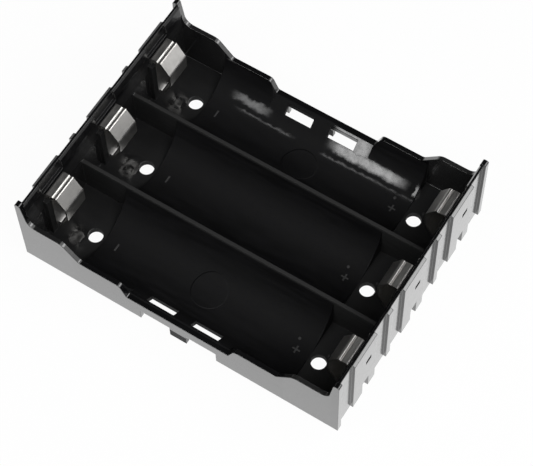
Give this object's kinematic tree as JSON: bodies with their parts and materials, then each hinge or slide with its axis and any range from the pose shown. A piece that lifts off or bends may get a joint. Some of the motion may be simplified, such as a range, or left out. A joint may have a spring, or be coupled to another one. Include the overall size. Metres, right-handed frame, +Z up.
{
  "type": "cylindrical cell holder",
  "caption": "Open moulded tray whose half-round bays each hold a cylindrical cell between folded spring contacts with solder pins.",
  "frame": {"origin": "centre of the housing's underside, in the plane that seats on the board", "axes": "+X along the cells, +Y across the bays, +Z up out of the board"},
  "size_m": [0.078, 0.06, 0.025],
  "materials": {
    "housing_plastic": "gloss black moulded ABS",
    "contact_metal": "bright nickel plate on folded spring strip"
  },
  "bodies": {
    "root": {"housing": "housing_plastic", "contact_left_1": "contact_metal", "contact_left_2": "contact_metal", "contact_left_3": "contact_metal", "contact_right_1": "contact_metal", "contact_right_2": "contact_metal", "contact_right_3": "contact_metal"}
  },
  "joints": []
}
